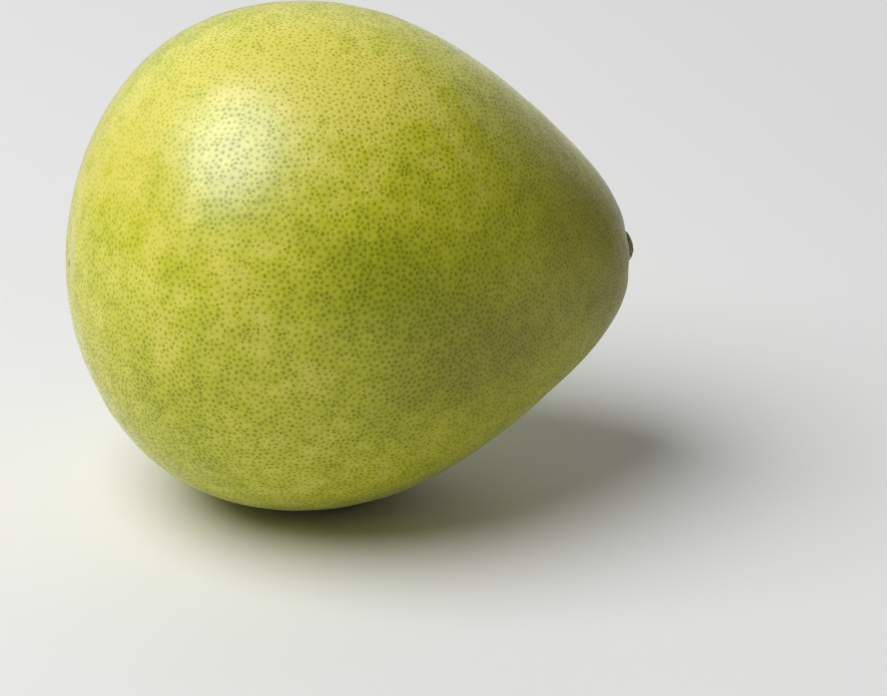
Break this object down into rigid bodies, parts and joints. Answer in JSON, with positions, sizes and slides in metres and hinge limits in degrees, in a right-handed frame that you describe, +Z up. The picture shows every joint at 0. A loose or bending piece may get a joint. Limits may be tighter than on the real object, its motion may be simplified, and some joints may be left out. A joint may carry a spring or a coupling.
{
  "type": "whole pomelo",
  "caption": "Whole ripe pomelo lying on its side, pear-shaped with a narrow neck, its dried calyx and clipped stalk still on the stem end.",
  "frame": {"origin": "middle of the small flat spot on the belly that the fruit rests on", "axes": "+X towards the stem end, along the fruit lying on its side; +Z up, away from the table"},
  "size_m": [0.1705, 0.153, 0.1494],
  "materials": {
    "rind": "waxy citrus rind, yellow clouded with olive green, pitted all over with small darker oil glands",
    "dried_calyx": "dull grey-brown dried sepals, finely wrinkled",
    "cut_wood": "dull fibrous end grain, darker at the bark"
  },
  "bodies": {
    "root": {"fruit": "rind", "calyx": "dried_calyx", "stalk_stub": "cut_wood"}
  },
  "joints": []
}
